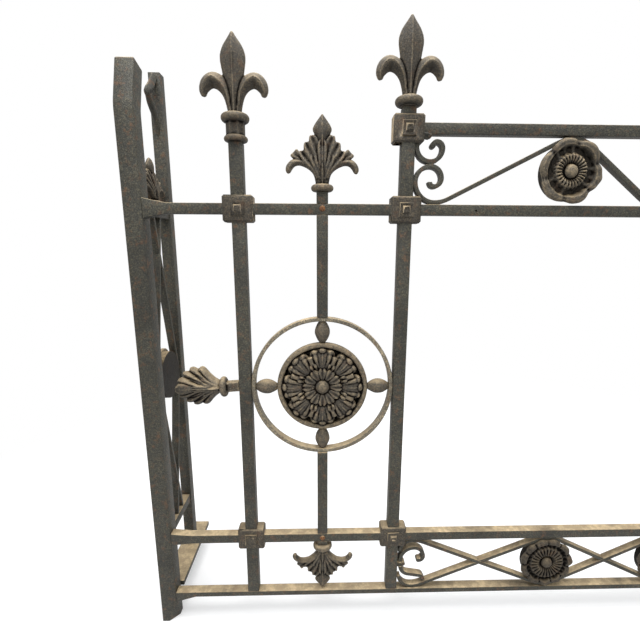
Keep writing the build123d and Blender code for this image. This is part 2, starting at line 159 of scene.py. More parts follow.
def srgb(text, alpha=1.0):
    """Linear colour of an sRGB hex value."""
    values = []
    for start in (1, 3, 5):
        part = int(text[start:start + 2], 16) / 255
        values.append(part / 12.92 if part <= 0.04045 else ((part + 0.055) / 1.055) ** 2.4)
    return (*values, alpha)


def add(tree, kind, settings=None, **links):
    """A node with its settings and the values or sockets of its inputs."""
    node = tree.nodes.new(kind)
    for key, value in (settings or {}).items():
        setattr(node, key, value)
    for key, value in links.items():
        place_in = int(key[1:]) if key[1:].isdigit() else key.replace("_", " ")
        socket = node.inputs[place_in]
        if isinstance(value, bpy.types.NodeSocket):
            tree.links.new(value, socket)
        else:
            socket.default_value = value
    return node


def mix(tree, amount, first, second, blend="MIX"):
    """Two colours mixed by an amount."""
    node = add(tree, "ShaderNodeMix", {"data_type": "RGBA", "blend_type": blend},
               _0=amount, _6=first, _7=second)
    return node.outputs[2]


def ramp(tree, value, low, high):
    """A value stretched from low..high to 0..1."""
    node = add(tree, "ShaderNodeMapRange", {"clamp": True}, _0=value, _1=low, _2=high, _3=0.0,
               _4=1.0)
    return node.outputs[0]


def iron(name, base, rough, pit_mm, carved, dust_and_light=0.92):
    """Weathered iron: oxide skin, rust patches, painted shade in hollows and on downward faces, a
    painted highlight on proud edges of castings, and on upward faces a dusting with painted top
    light.
    """
    colours = bpy.context.scene.railing_colours
    material = bpy.data.materials.new(name)
    material.use_nodes = True
    tree = material.node_tree
    tree.nodes.clear()
    at = add(tree, "ShaderNodeTexCoord").outputs["Object"]
    # Cloudy change of tone over a hand's breadth
    cloud = add(tree, "ShaderNodeTexNoise", None, Vector=at, Scale=9.0, Detail=4.0, Roughness=0.6)
    # Mottling a few millimetres across, as on scale that flakes
    mottle = add(tree, "ShaderNodeTexNoise", None, Vector=at, Scale=150.0, Detail=5.0,
                 Roughness=0.7)
    # Pitting of the oxide skin, drawn coarse enough to show
    pit = add(tree, "ShaderNodeTexNoise", None, Vector=at, Scale=1000.0 / pit_mm, Detail=4.0,
              Roughness=0.7)
    dark = mix(tree, 1.0, srgb(base), (0.66, 0.65, 0.63, 1), "MULTIPLY")
    light = mix(tree, 1.0, srgb(base), (1.16, 1.14, 1.1, 1), "MULTIPLY")
    colour = mix(tree, ramp(tree, cloud.outputs[0], 0.38, 0.6), dark, light)
    colour = mix(tree, ramp(tree, mottle.outputs[0], 0.44, 0.62), colour,
                 mix(tree, 1.0, colour, (1.24, 1.17, 1.05, 1), "MULTIPLY"))
    # Pale specks where the scale has lifted, dark ones where it is pitted
    speck = add(tree, "ShaderNodeTexNoise", None, Vector=at, Scale=420.0, Detail=3.0, Roughness=0.6)
    pale = add(tree, "ShaderNodeMath", TIMES,
               _0=ramp(tree, speck.outputs[0], 0.53, 0.66), _1=0.8).outputs[0]
    colour = mix(tree, pale, colour, mix(tree, 1.0, colour, (2.6, 2.4, 2.1, 1), "MULTIPLY"))
    pitted = add(tree, "ShaderNodeMath", TIMES,
                 _0=ramp(tree, speck.outputs[0], 0.47, 0.36), _1=0.8).outputs[0]
    colour = mix(tree, pitted, colour, mix(tree, 1.0, colour, (0.4, 0.4, 0.4, 1), "MULTIPLY"))
    # Rust comes up in patches
    patch = add(tree, "ShaderNodeTexNoise", None, Vector=at, Scale=55.0, Detail=6.0, Roughness=0.72)
    rusty = ramp(tree, patch.outputs[0], 0.54, 0.66)
    rusty = add(tree, "ShaderNodeMath", TIMES, _0=rusty,
                _1=0.3 if carved else 0.5).outputs[0]
    colour = mix(tree, rusty, colour, srgb(colours.rust))
    sheen = 0.25
    if carved:
        # Painted shade: what the relief marks as sunk is darkened toward the recess colour
        relief = add(tree, "ShaderNodeAttribute", {"attribute_name": "relief"}).outputs["Fac"]
        hollow_shade = ramp(tree, relief, 0.54, 0.22)
        colour = mix(tree, hollow_shade, colour, srgb(colours.painted_shade))
        # Painted shade: the hollows are made more metallic over their near-black colour, which
        # takes their gleam away so they read black
        sheen = add(tree, "ShaderNodeMath", TIMES_PLUS, _0=hollow_shade, _1=0.75,
                    _2=0.25).outputs[0]
        # Painted highlight: what the relief marks as proud is lightened, unevenly, toward the pale
        # tan colour
        proud = ramp(tree, relief, 0.6, 1.0)
        uneven = add(tree, "ShaderNodeMath", TIMES_PLUS,
                     _0=ramp(tree, mottle.outputs[0], 0.4, 0.62), _1=0.5, _2=0.12).outputs[0]
        colour = mix(tree, add(tree, "ShaderNodeMath", TIMES,
                               _0=proud, _1=uneven).outputs[0], colour,
                     mix(tree, 0.9 * dust_and_light, srgb(base), srgb(colours.dust_and_light)))
    # Dust lies on what faces up, and with it painted top light
    normal = add(tree, "ShaderNodeNewGeometry").outputs["Normal"]
    up = add(tree, "ShaderNodeSeparateXYZ", None, Vector=normal).outputs[2]
    ragged = add(tree, "ShaderNodeMath", TIMES_PLUS,
                 _0=mottle.outputs[0], _1=0.5, _2=-0.25).outputs[0]
    up = add(tree, "ShaderNodeMath", {"operation": "ADD"}, _0=up, _1=ragged).outputs[0]
    dust_and_top_light = ramp(tree, up, 0.5, 0.92)
    thin = ramp(tree, cloud.outputs[0], 0.2, 0.5)
    dust_and_top_light = add(tree, "ShaderNodeMath", TIMES, _0=dust_and_top_light, _1=thin).outputs[0]
    scuffed = add(tree, "ShaderNodeMath", TIMES_PLUS,
                  _0=ramp(tree, patch.outputs[0], 0.38, 0.56), _1=-0.45, _2=1.0).outputs[0]
    dust_and_top_light = add(tree, "ShaderNodeMath", TIMES, _0=dust_and_top_light, _1=scuffed).outputs[0]
    dust_and_top_light = add(tree, "ShaderNodeMath", TIMES, _0=dust_and_top_light, _1=dust_and_light).outputs[0]
    colour = mix(tree, dust_and_top_light, colour, srgb(colours.dust_and_light))
    # Painted shade: what faces down is darkened toward the recess colour
    under = ramp(tree, up, -0.35, -0.9)
    under = add(tree, "ShaderNodeMath", TIMES, _0=under, _1=0.6).outputs[0]
    colour = mix(tree, under, colour, srgb(colours.painted_shade))
    bump = add(tree, "ShaderNodeBump", None, Height=pit.outputs[0], Strength=0.55, Distance=0.0012)
    wave = add(tree, "ShaderNodeBump", None, Height=mottle.outputs[0], Strength=0.5,
               Distance=0.0025, Normal=bump.outputs[0])
    gloss = add(tree, "ShaderNodeMath", TIMES_PLUS,
                _0=mottle.outputs[0], _1=0.22, _2=rough - 0.1).outputs[0]
    shader = add(tree, "ShaderNodeBsdfPrincipled", None, Base_Color=colour, Roughness=gloss,
                 Metallic=sheen, Normal=wave.outputs[0])
    out = add(tree, "ShaderNodeOutputMaterial")
    tree.links.new(shader.outputs[0], out.inputs[0])
    return material


made = {}


def finish(name, base, rough, pit_mm, carved=False, dust_and_light=0.92):
    """The iron of that name, made once."""
    if name not in made:
        made[name] = iron(name, base, rough, pit_mm, carved, dust_and_light)
    return made[name]


def rubbed():
    """Bar of the rings, rubbed and dusted: the eye sees it paler than the posts."""
    return finish("rubbed_wrought_iron", "#6c675b", 0.6, 3.0)


def rusted():
    """Rivet heads gone to rust: a dull orange brown."""
    return finish("rusted_wrought_iron", bpy.context.scene.railing_colours.rust, 0.8, 2.0)


def worn():
    """Arris rubbed through its oxide: a paler, browner line along each edge."""
    return finish("worn_wrought_iron", "#94866b", 0.6, 3.0)


def wrought():
    """Forged bar under its oxide: the eye sees a dull dark grey with a brown cast."""
    return finish("forged_wrought_iron", bpy.context.scene.railing_colours.bar, 0.62, 3.0)


def darkest_cast():
    """The lower rosettes: cast iron with a darker base colour, the darkest castings."""
    return finish("darkest_cast_iron", "#302c26", 0.75, 2.4, True, 0.2)


def cast():
    """Sand-cast iron: rougher and browner than the bar, with painted shade in its hollows."""
    return finish("sand_cast_iron", bpy.context.scene.railing_colours.casting, 0.7, 2.4, True, 0.55)


def shown_rays(tree):
    """One for camera, glossy and transmission rays, which all show the same background."""
    path = add(tree, "ShaderNodeLightPath").outputs
    both = add(tree, "ShaderNodeMath", {"operation": "MAXIMUM"}, _0=path["Is Camera Ray"],
               _1=path["Is Glossy Ray"]).outputs[0]
    return add(tree, "ShaderNodeMath", {"operation": "MAXIMUM"}, _0=both,
               _1=path["Is Transmission Ray"]).outputs[0]


# Mesh helpers


def finish_piece(bm, name, material, replaced, smooth_angle=None):
    """Write a bmesh to an object that rides on the railing and stands for its CAD nodes."""
    bmesh.ops.recalc_face_normals(bm, faces=bm.faces)
    mesh = bpy.data.meshes.new(name)
    bm.to_mesh(mesh)
    bm.free()
    piece = bpy.data.objects.new(name, mesh)
    bpy.context.collection.objects.link(piece)
    declare(piece, material, replaced)
    mesh.shade_smooth()
    if smooth_angle is not None:
        mesh.set_sharp_from_angle(angle=math.radians(smooth_angle))
    return piece


def declare(piece, material, replaced):
    """Material, body and the CAD nodes that the piece stands for."""
    if not piece.data.polygons:
        raise RuntimeError(piece.name + " came out empty")
    piece.data.materials.clear()
    piece.data.materials.append(material)
    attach(piece, "root")
    if replaced:
        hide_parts(*replaced)


def bake(piece):
    """Apply a piece's modifiers to its mesh."""
    graph = bpy.context.evaluated_depsgraph_get()
    graph.update()
    mesh = bpy.data.meshes.new_from_object(piece.evaluated_get(graph))
    old = piece.data
    piece.modifiers.clear()
    piece.data = mesh
    mesh.name = piece.name
    bpy.data.meshes.remove(old)


def relief(piece, reach_mm):
    """Store how proud or sunk each point is against its surroundings, 0 sunk to 1 proud."""
    mesh = piece.data
    count = len(mesh.vertices)
    points = np.empty(count * 3)
    mesh.vertices.foreach_get("co", points)
    points = points.reshape(-1, 3)
    normals = np.empty(count * 3)
    mesh.vertices.foreach_get("normal", normals)
    normals = normals.reshape(-1, 3)
    edges = np.empty(len(mesh.edges) * 2, dtype=np.int64)
    mesh.edges.foreach_get("vertices", edges)
    edges = edges.reshape(-1, 2)
    degree = np.bincount(edges.ravel(), minlength=count).astype(float)
    degree[degree == 0] = 1
    length = np.linalg.norm(points[edges[:, 0]] - points[edges[:, 1]], axis=1).mean()
    smooth = points.copy()
    total = np.zeros(count)
    steps = max(4, int((reach_mm * MM / length) ** 2))
    marks = (max(1, steps // 12), max(2, steps // 3), steps)
    for step in range(1, steps + 1):
        spread = np.zeros_like(smooth)
        for axis in range(3):
            column = smooth[:, axis]
            spread[:, axis] = (np.bincount(edges[:, 0], column[edges[:, 1]], count)
                               + np.bincount(edges[:, 1], column[edges[:, 0]], count))
        smooth = 0.4 * smooth + 0.6 * spread / degree[:, None]
        if step in marks:
            height = ((points - smooth) * normals).sum(1) / MM
            total += np.clip(height / (0.35 + 0.35 * marks.index(step)), -1, 1)
    value = 0.5 + 0.5 * np.clip(total / 2.2, -1, 1)
    mesh.attributes.new("relief", "FLOAT", "POINT")
    mesh.attributes["relief"].data.foreach_set("value", value.astype(np.float32))


def fuse(piece, cell, reach_mm=5.0, smooth=2):
    """Join overlapping petals into one casting and store its relief."""
    join = piece.modifiers.new("join", "REMESH")
    join.mode = "VOXEL"
    join.voxel_size = cell
    join.use_smooth_shade = True
    ease = piece.modifiers.new("ease", "SMOOTH")
    ease.factor = 0.5
    ease.iterations = smooth
    bake(piece)
    if not piece.data.polygons:
        raise RuntimeError(piece.name + " was lost in the remesh")
    piece.data.shade_smooth()
    relief(piece, reach_mm)


def sideways(low, high):
    """Direction across a petal between two stations in the XZ plane."""
    along = Vector((high[0] - low[0], high[1] - low[1])).normalized()
    return Vector((along.y, -along.x))


def section(u, shape, sink, deep):
    """Half thickness of a petal at u across it, -1 to 1, in millimetres."""
    if shape == "ridge":
        return deep / 2 * (1 - 0.86 * abs(u) ** 1.15) * min(1, 6 * (1 - abs(u))) ** 0.5
    if shape == "trough":
        full = deep / 2 * math.sqrt(max(0, 1 - abs(u) ** 5))
        return full - sink * max(0, 1 - (u / 0.62) ** 2)
    return deep / 2 * math.sqrt(max(0, 1 - u * u))


def petal(bm, stations, shape="round", sink=0.0, sides=24, fold=0.0, lift=None):
    """Loft a petal through stations (x, z, width, depth) in millimetres, closed at both ends.

    A trough sinks the middle by sink and a ridge raises it, fold leans the petal back by how far
    out it reaches, and lift gives how far it stands forward at a point."""
    count = len(stations)
    ring = bmesh.ops.create_circle(bm, cap_ends=False, segments=sides, radius=1.0)["verts"]
    angles = [math.atan2(v.co.y, v.co.x) for v in ring]
    marked = set(ring)
    loop = [e for e in bm.edges if e.verts[0] in marked and e.verts[1] in marked]
    first = list(loop)
    index = {}
    for i in range(count):
        side = sideways(stations[max(i - 1, 0)], stations[min(i + 1, count - 1)])
        x, z, wide, deep = stations[i]
        if i:
            grown = bmesh.ops.extrude_edge_only(bm, edges=loop)
            new = only_verts(grown["geom"])
            marked = set(new)
            loop = [g for g in grown["geom"] if isinstance(g, bmesh.types.BMEdge)
                    and g.verts[0] in marked and g.verts[1] in marked]
            order = {}
            for v in new:
                for e in v.link_edges:
                    other = e.other_vert(v)
                    if other in index:
                        order[index[other]] = v
            ring = [order[k] for k in range(sides)]
        index = {v: k for k, v in enumerate(ring)}
        for k, v in enumerate(ring):
            u = math.cos(angles[k])
            half = section(u, shape, sink * min(1, 1.6 * i / count), deep)
            px = x + side.x * u * wide / 2
            pz = z + side.y * u * wide / 2
            py = math.copysign(half, math.sin(angles[k])) if abs(u) < 0.9999 else 0
            if lift:
                py -= lift(px, pz)
            v.co = Vector((px, py + fold * abs(px), pz)) * MM
    bmesh.ops.edgeloop_fill(bm, edges=first)
    bmesh.ops.edgeloop_fill(bm, edges=loop)


def smooth_path(stations, steps):
    """Ease a row of stations into a finer one with a Catmull-Rom curve."""
    points = [Vector(s) for s in stations]
    rows = []
    last = len(points) - 1
    for i in range(last):
        p0 = points[max(i - 1, 0)]
        p1 = points[i]
        p2 = points[i + 1]
        p3 = points[min(i + 2, last)]
        for s in range(steps):
            t = s / steps
            rows.append(0.5 * ((2 * p1) + (p2 - p0) * t + (2 * p0 - 5 * p1 + 4 * p2 - p3) * t * t
                               + (3 * p1 - p0 - 3 * p2 + p3) * t * t * t))
    rows.append(points[-1])
    return [tuple(r) for r in rows]


def turned(bm, profile, steps=48):
    """Spin a profile of (radius, z) millimetres about Z into a closed turned form."""
    before = set(bm.verts)
    verts = [bm.verts.new((r * MM, 0, z * MM)) for r, z in profile]
    edges = [bm.edges.new(pair) for pair in zip(verts, verts[1:])]
    bmesh.ops.spin(bm, geom=verts + edges, cent=(0, 0, 0), axis=(0, 0, 1), angle=2 * math.pi,
                   steps=steps, use_merge=True)
    new = [v for v in bm.verts if v not in before]
    bmesh.ops.remove_doubles(bm, verts=new, dist=0.01 * MM)
    return [v for v in bm.verts if v not in before]


def everything(bm):
    """All of a bmesh's geometry, as its operators take it."""
    return bm.verts[:] + bm.edges[:] + bm.faces[:]


def only_verts(geom):
    """The vertices of an operator's result."""
    return [g for g in geom if isinstance(g, bmesh.types.BMVert)]


def round_about(bm, geom, count):
    """Copy geometry round the Y axis until it stands there count times."""
    for i in range(1, count):
        copy = bmesh.ops.duplicate(bm, geom=geom)
        bmesh.ops.rotate(bm, matrix=Matrix.Rotation(i * 2 * math.pi / count, 3, "Y"),
                         verts=only_verts(copy["geom"]))


def mirrored(bm):
    """Add the mirror image of everything across X = 0."""
    copy = bmesh.ops.duplicate(bm, geom=everything(bm))
    bmesh.ops.scale(bm, vec=(-1, 1, 1), verts=only_verts(copy["geom"]))
    faces = [g for g in copy["geom"] if isinstance(g, bmesh.types.BMFace)]
    bmesh.ops.reverse_faces(bm, faces=faces)


def torus_profile(radius, tall, inner, z):
    """Half round band profile for turned()."""
    rows = [(inner, z - tall / 2)]
    for i in range(9):
        a = -math.pi / 2 + math.pi * i / 8
        rows.append((radius - tall / 2 + math.cos(a) * tall / 2, z + math.sin(a) * tall / 2))
    rows.append((inner, z + tall / 2))
    return rows


def bevel(bm, edges, offset, segments, **more):
    """Bevel edges by an offset."""
    return bmesh.ops.bevel(bm, geom=edges, offset=offset, offset_type="OFFSET", segments=segments,
                           profile=0.5, affect="EDGES", material=-1, **more)


def merged(node):
    """A CAD node's mesh with its loose triangles joined and its flat faces made whole."""
    bm = bmesh.new()
    bm.from_mesh(nodes[node].data)
    bmesh.ops.remove_doubles(bm, verts=bm.verts, dist=0.02 * MM)
    bmesh.ops.dissolve_limit(bm, angle_limit=math.radians(1.0), verts=bm.verts, edges=bm.edges)
    return bm


def drill(piece, at, radius, deep):
    """Sink a blind hole in a piece, straight back from its front face."""
    bm = bmesh.new()
    bmesh.ops.create_cone(bm, cap_ends=True, segments=20, radius1=radius, radius2=radius,
                          depth=2 * deep)
    bmesh.ops.rotate(bm, matrix=Matrix.Rotation(QUARTER, 3, "X"), verts=bm.verts)
    bmesh.ops.translate(bm, vec=at, verts=bm.verts)
    mesh = bpy.data.meshes.new("drill")
    bm.to_mesh(mesh)
    bm.free()
    bit = bpy.data.objects.new("drill", mesh)
    bpy.context.collection.objects.link(bit)
    cut = piece.modifiers.new("hole", "BOOLEAN")
    cut.operation = "DIFFERENCE"
    cut.object = bit
    bake(piece)
    bpy.data.objects.remove(bit)
    bpy.data.meshes.remove(mesh)


def place(bm, matrix):
    """Set a form in its place."""
    bmesh.ops.transform(bm, matrix=matrix, verts=bm.verts)


def across():
    """Mirror matrix to the railing's other half."""
    return (Matrix.Translation((x_mid, 0, 0)) @ Matrix.Scale(-1, 4, (1, 0, 0))
            @ Matrix.Translation((-x_mid, 0, 0)))


def clone(piece, name, matrix, material, replaced):
    """The same casting again in another place."""
    mesh = piece.data.copy()
    mesh.transform(matrix)
    if matrix.determinant() < 0:
        mesh.flip_normals()
    mesh.name = name
    twin = bpy.data.objects.new(name, mesh)
    bpy.context.collection.objects.link(twin)
    declare(twin, material, replaced)
    return twin


def pair(piece, node, ending, material, slot):
    """The same piece mirrored to the railing's other half."""
    twin = node.replace("left", "right")
    clone(piece, twin + ending, across(), material, [twin])


# Castings


def fleur_form(neck):
    """Fleur-de-lis on its neck, foot at z = 0, in a bmesh."""
    bm = bmesh.new()
    curl = [(6, neck + 2, 12, 17), (8, neck + 22, 14, 18), (13, neck + 42, 18, 23),
            (23, neck + 57, 25, 27), (37, neck + 63, 28, 28), (48, neck + 57, 25, 26),
            (54, neck + 46, 18, 20), (54, neck + 36, 9, 11)]
    petal(bm, smooth_path(curl, 4), "ridge", sides=28)
    crease = [(9, neck + 20, 3, 21), (14, neck + 44, 3, 25), (24, neck + 59.5, 3, 29),
              (37, neck + 66, 3, 30.5), (49.5, neck + 59.5, 3, 28), (56, neck + 47, 3, 21),
              (56, neck + 37, 2.4, 12)]
    petal(bm, smooth_path(crease, 4), "round", sides=8)
    mirrored(bm)
    spear = [(0, neck, 20, 20), (0, neck + 30, 24, 21), (0, neck + 52, 33, 23),
             (0, neck + 74, 40, 24), (0, neck + 100, 47, 24), (0, neck + 118, 36, 20),
             (0, neck + 133, 15, 13), (0, neck + 141.5, 4, 5)]
    petal(bm, smooth_path(spear, 4), "ridge", sides=40)
    spine = [(0, neck + 6, 7, 24), (0, neck + 40, 5, 25), (0, neck + 74, 3.4, 26.5),
             (0, neck + 104, 3.0, 26.5), (0, neck + 132, 2.6, 15)]
    petal(bm, smooth_path(spine, 3), sides=12)
    turned(bm, torus_profile(26, 15, 0, neck), 56)
    if neck > 20:
        turned(bm, torus_profile(22, 10, 0, 5.5), 56)
        box = bmesh.ops.create_cube(bm, size=1.0)["verts"]
        bmesh.ops.scale(bm, vec=(33 * MM, 33 * MM, (neck - 2) * MM), verts=box)
        bmesh.ops.translate(bm, vec=(0, 0, neck / 2 * MM), verts=box)
        marked = set(box)
        sides = [e for e in bm.edges if e.verts[0] in marked and e.verts[1] in marked
                 and abs(e.verts[0].co.z - e.verts[1].co.z) > 5 * MM]
        bevel(bm, sides, 9 * MM, 1)
    else:
        turned(bm, [(0, 0.3), (15, 0.3), (13.5, neck / 2), (15, neck), (0, neck)], 40)
    return bm


def leaf_form(height, width, fold=0.0, tip=True):
    """Acanthus casting, collar centred on z = 0, tip at z = height, in a bmesh."""
    k = height / 130.0
    w = width / 132.0
    bm = bmesh.new()

    def row(stations, shape, **more):
        scaled = [(x * w, z * k, wide * min(1, (k + w) / 2 + 0.06), deep)
                  for x, z, wide, deep in stations]
        petal(bm, smooth_path(scaled, 4), shape, fold=fold, **more)

    if tip:
        row([(6, 8, 13, 16), (11, 27, 13, 16), (23, 39, 13, 17), (40, 46, 13, 17),
             (53, 45, 14, 17), (61, 38, 14, 16), (63, 31, 12, 13), (61, 27, 7, 8)], "ridge")
        row([(22, 36, 8, 12), (35, 48, 9, 12), (45, 56, 13, 11), (51, 61, 18, 10),
             (54, 64, 17, 7)], "trough", sink=2.4)
    else:
        row([(6, 6, 15, 18), (16, 26, 17, 20), (29, 42, 18, 22), (40, 52, 18, 24),
             (46, 58, 15, 22), (44, 65, 8, 12)], "ridge")
        row([(12, 30, 7, 18), (29, 55, 11, 21), (40, 71, 16, 20), (46, 82, 16, 16),
             (48, 90, 8, 9)], "ridge")
        row([(8, 40, 7, 18), (23, 68, 11, 21), (33, 88, 16, 19), (37, 100, 15, 15),
             (38, 108, 7, 8)], "ridge")
        row([(4, 50, 7, 18), (13, 82, 11, 21), (20, 102, 16, 18), (22, 114, 14, 13),
             (22, 121, 6, 7)], "ridge")
    row([(3, 30, 8, 15), (7, 56, 13, 16), (12, 72, 18, 15), (16, 83, 18, 13), (19, 90, 12, 10),
         (20, 94, 5, 5)], "trough", sink=3.4)
    row([(5, 24, 9, 18), (12, 45, 14, 19), (20, 60, 19, 18), (26, 71, 18, 15), (29, 78, 12, 11),
         (30, 82, 5, 5)], "trough", sink=4.2)
    row([(7, 18, 9, 20), (16, 36, 14, 22), (26, 48, 18, 21), (33, 57, 18, 18), (37, 63, 13, 13),
         (38, 67, 6, 6)], "trough", sink=5.0)
    row([(4, 16, 7, 23), (10, 34, 11, 25), (15, 46, 14, 25), (17, 55, 12, 21), (17, 60, 6, 13)],
        "trough", sink=4.0)
    mirrored(bm)
    if tip:
        row([(0, 56, 20, 14), (0, 80, 22, 16), (0, 92, 27, 18), (0, 103, 37, 19), (0, 113, 28, 17),
             (0, 123, 13, 11), (0, 129.4, 3, 4)], "ridge", sides=32)
        row([(0, 60, 3.4, 16), (0, 96, 3, 20), (0, 122, 2.4, 13)], "round", sides=10)
    else:
        row([(0, 56, 20, 14), (0, 84, 22, 16), (0, 104, 30, 17), (0, 118, 28, 14), (0, 126, 16, 9),
             (0, 129.4, 6, 4)], "trough", sink=3.4, sides=32)
    row([(0, 20, 14, 23), (0, 46, 17, 26), (0, 64, 20, 25), (0, 76, 19, 21), (0, 84, 12, 16),
         (0, 88, 4, 9)], "trough", sink=4.4, sides=28)
    row([(0, 24, 4, 27), (0, 50, 3.4, 27), (0, 84, 2.4, 16)], "round", sides=10)
    row([(0, 6, 14, 25), (0, 17, 18, 31), (0, 28, 17, 34), (0, 38, 10, 32), (0, 44, 3, 27)],
        "ridge")
    row([(0, -3, 22, 22), (0, 12, 23, 22), (0, 22, 22, 20)], "round")
    turned(bm, torus_profile(21.5, 13, 0, 0), 48)
    return bm


def rosette_form(radius, petals, ribs, rib_end, cup, notch):
    """Frieze rosette facing -Y with its back at y = 0, in a bmesh.

    ribs fan out from the boss to rib_end, cup hollows each petal and notch parts it, in mm."""
    bm = bmesh.new()
    profile = [(0, 12.5), (4, 12.2), (7.5, 10.9), (10.2, 8.6), (12, 5.6), (12.8, 2.6), (14.2, 0.8)]
    for i in range(1, 32):
        profile.append((14.2 + 46.6 * i / 31, 5.0))
    profile += [(61.2, 2.4), (61.0, 0.0), (59, -2.0), (52, -3.0), (0, -3.0)]
    turned(bm, profile, 176)
    for v in bm.verts:
        x, y, z = v.co.x / MM, v.co.y / MM, v.co.z / MM
        r = math.hypot(x, y)
        a = math.atan2(y, x)
        a += 0.05 * math.sin(a * 2 + 1)
        lobe = math.cos(a * petals / 2) ** 2
        edge = min(1, max(0, (r - 38) / 22))
        ripple = math.cos(a * petals * 2 + 0.8 * math.sin(a * 3))
        pull = 1 - notch / 60 * (1 - lobe) ** 2.5 * edge - 0.012 * (1 - ripple) * edge
        if 14.5 <= r and z > 2.0:
            rise = min(1, (r - 14) / 7)
            band = rise * min(1, max(0, (rib_end - r) / 7))
            z = 0.8 + 6.0 * rise + 1.7 * band * math.cos(a * ribs)
            if r > rib_end - 5:
                t = min(1, (r - rib_end + 5) / (60 - rib_end))
                bowl = math.sin(math.pi * min(1, t * 1.35)) ** 0.8
                z += -cup * bowl * (0.72 + 0.28 * lobe) + 2.6 * t
                z -= notch * (1 - lobe) ** 6 * min(1, t * 1.6)
                z += (0.8 * t + 0.12 * cup * bowl) * ripple
            if r > 57:
                z -= (r - 57) * 0.8
        v.co = Vector((x * pull, y * pull, z)) * MM
    scale = radius / 61.4
    bmesh.ops.scale(bm, vec=(scale, scale, 1), verts=bm.verts)
    bmesh.ops.rotate(bm, matrix=Matrix.Rotation(QUARTER, 3, "X"), verts=bm.verts)
    return bm


def medallion_form(radius, leaves):
    """Medallion facing -Y, its middle plane at y = 0, in a bmesh."""
    bm = bmesh.new()

    def swell(x, z):
        r = math.hypot(x, z)
        rise = math.sin(math.pi * min(1, max(0, (r - 30) / 58)))
        return 1.2 + 4.2 * rise

    # A broad blade, five ribs fanning over it and curled tips that scallop its edge
    petal(bm, smooth_path([(0, 34, 20, 10), (0, 46, 32, 15), (0, 60, 46, 18), (0, 70, 52, 17),
                           (0, 77, 46, 14), (0, 82, 30, 9)], 3), "round", sides=24, lift=swell)
    for lean, reach, wide in ((0, 81, 16), (-12, 79, 13), (12, 79, 13), (-21.5, 69, 10),
                              (21.5, 69, 10)):
        sway = math.sin(math.radians(lean))
        rise = math.cos(math.radians(lean))
        spine = [(34 * sway * 0.6, 35, 4.5, 9), (46 * sway * 0.8, 46 * rise, 6.5, 15),
                 (58 * sway, 58 * rise, 9.4, 20), (68 * sway, 68 * rise, wide * 1.1, 20),
                 (reach * sway, reach * rise, wide * 0.6, 12)]
        petal(bm, smooth_path(spine, 3), "ridge" if lean == 0 else "round", sides=16, lift=swell)
        tip = bmesh.ops.create_icosphere(bm, subdivisions=2, radius=wide * 0.46 * MM)["verts"]
        bmesh.ops.scale(bm, vec=(1.2, 1.1, 0.8), verts=tip)
        out = 3.6 + swell(reach * sway, reach * rise)
        bmesh.ops.translate(bm, vec=(reach * sway * MM, -out * MM, (reach - 3) * rise * MM),
                            verts=tip)
    # A pair of beads in the eye between two leaves
    for x in (-4.6, 4.6):
        bud = bmesh.ops.create_icosphere(bm, subdivisions=2, radius=4.2 * MM)["verts"]
        bmesh.ops.scale(bm, vec=(0.85, 1.5, 1.5), verts=bud)
        bmesh.ops.translate(bm, vec=(x * MM, -9.5 * MM, 49 * MM), verts=bud)
        bmesh.ops.rotate(bm, matrix=Matrix.Rotation(math.pi / leaves, 3, "Y"), verts=bud)
    round_about(bm, everything(bm), leaves)
    start = len(bm.verts)
    petal(bm, smooth_path([(0, 15, 7, 8), (0, 21, 11.5, 12), (0, 29, 17, 15), (0, 35, 18, 15),
                           (0, 39.5, 12, 11)], 3), "trough", sink=2.6, sides=20,
          lift=lambda x, z: 3.0 + 0.16 * (math.hypot(x, z) - 15))
    bm.verts.ensure_lookup_table()
    geom = bm.verts[start:]
    cup = set(geom)
    geom += [e for e in bm.edges if e.verts[0] in cup]
    geom += [f for f in bm.faces if f.verts[0] in cup]
    round_about(bm, geom, leaves + leaves // 2)
    dish = turned(bm, [(0, 15.4), (4, 15), (7.6, 13.6), (9.4, 11.4), (11.4, 10.4), (13.8, 8),
                       (15, 4), (15.2, -2), (16.5, -2.4), (30, -3.6), (60, -4.4), (82, -5.0),
                       (82.8, -4.0), (83.2, 4.5), (84.4, 8.2), (86.4, 9.8), (88.8, 10),
                       (91.4, 9.2), (93.2, 7.4), (94, 5), (94, -5), (93, -8), (90, -10),
                       (84, -9.4), (60, -9), (0, -9)], 128)
    bmesh.ops.rotate(bm, matrix=Matrix.Rotation(QUARTER, 3, "X"), verts=dish)
    scale = radius / 94.0
    bmesh.ops.scale(bm, vec=(scale, 1, scale), verts=bm.verts)
    return bm


def casting(node, bm, matrix, reach_mm=5.0, smooth=2):
    """Place a form of petals, fuse it into one casting and mirror it to the other half."""
    place(bm, matrix)
    piece = finish_piece(bm, node + "_cast", cast(), [node])
    fuse(piece, bpy.context.scene.railing_castings.grain, reach_mm, smooth)
    pair(piece, node, "_cast", cast(), ORNAMENT)


# Operators


class RAILING_OT_bars(bpy.types.Operator):
    """Round the arrises of the forged bars and give them their iron"""

    bl_idname = "railing.bars"
    bl_label = "Forged bars"

    def execute(self, context):
        width = context.scene.railing_bars.edge
        forged = [n for n in nodes if not any(word in n for word in
                  ("fleur", "leaf", "rosette", "medallion", "clamps", "beads", "wall_post"))]
        for node in forged:
            bm = merged(node)
            sharp = [e for e in bm.edges if len(e.link_faces) == 2
                     and e.calc_face_angle(0) > math.radians(50)]
            rounded = bevel(bm, sharp, width, 2, clamp_overlap=True)
            for face in rounded["faces"]:
                face.material_index = 1
            skin = rubbed() if node.endswith("_ring") else wrought()
            piece = finish_piece(bm, node + "_iron", skin, [node], 35)
            piece.data.materials.append(worn())
            if node == "upper_rail":
                drill(piece, (x_post["left_inner"] + 135 * MM, y_face, centre(node).z - 1 * MM),
                      2.2 * MM, 6 * MM)
        return {"FINISHED"}


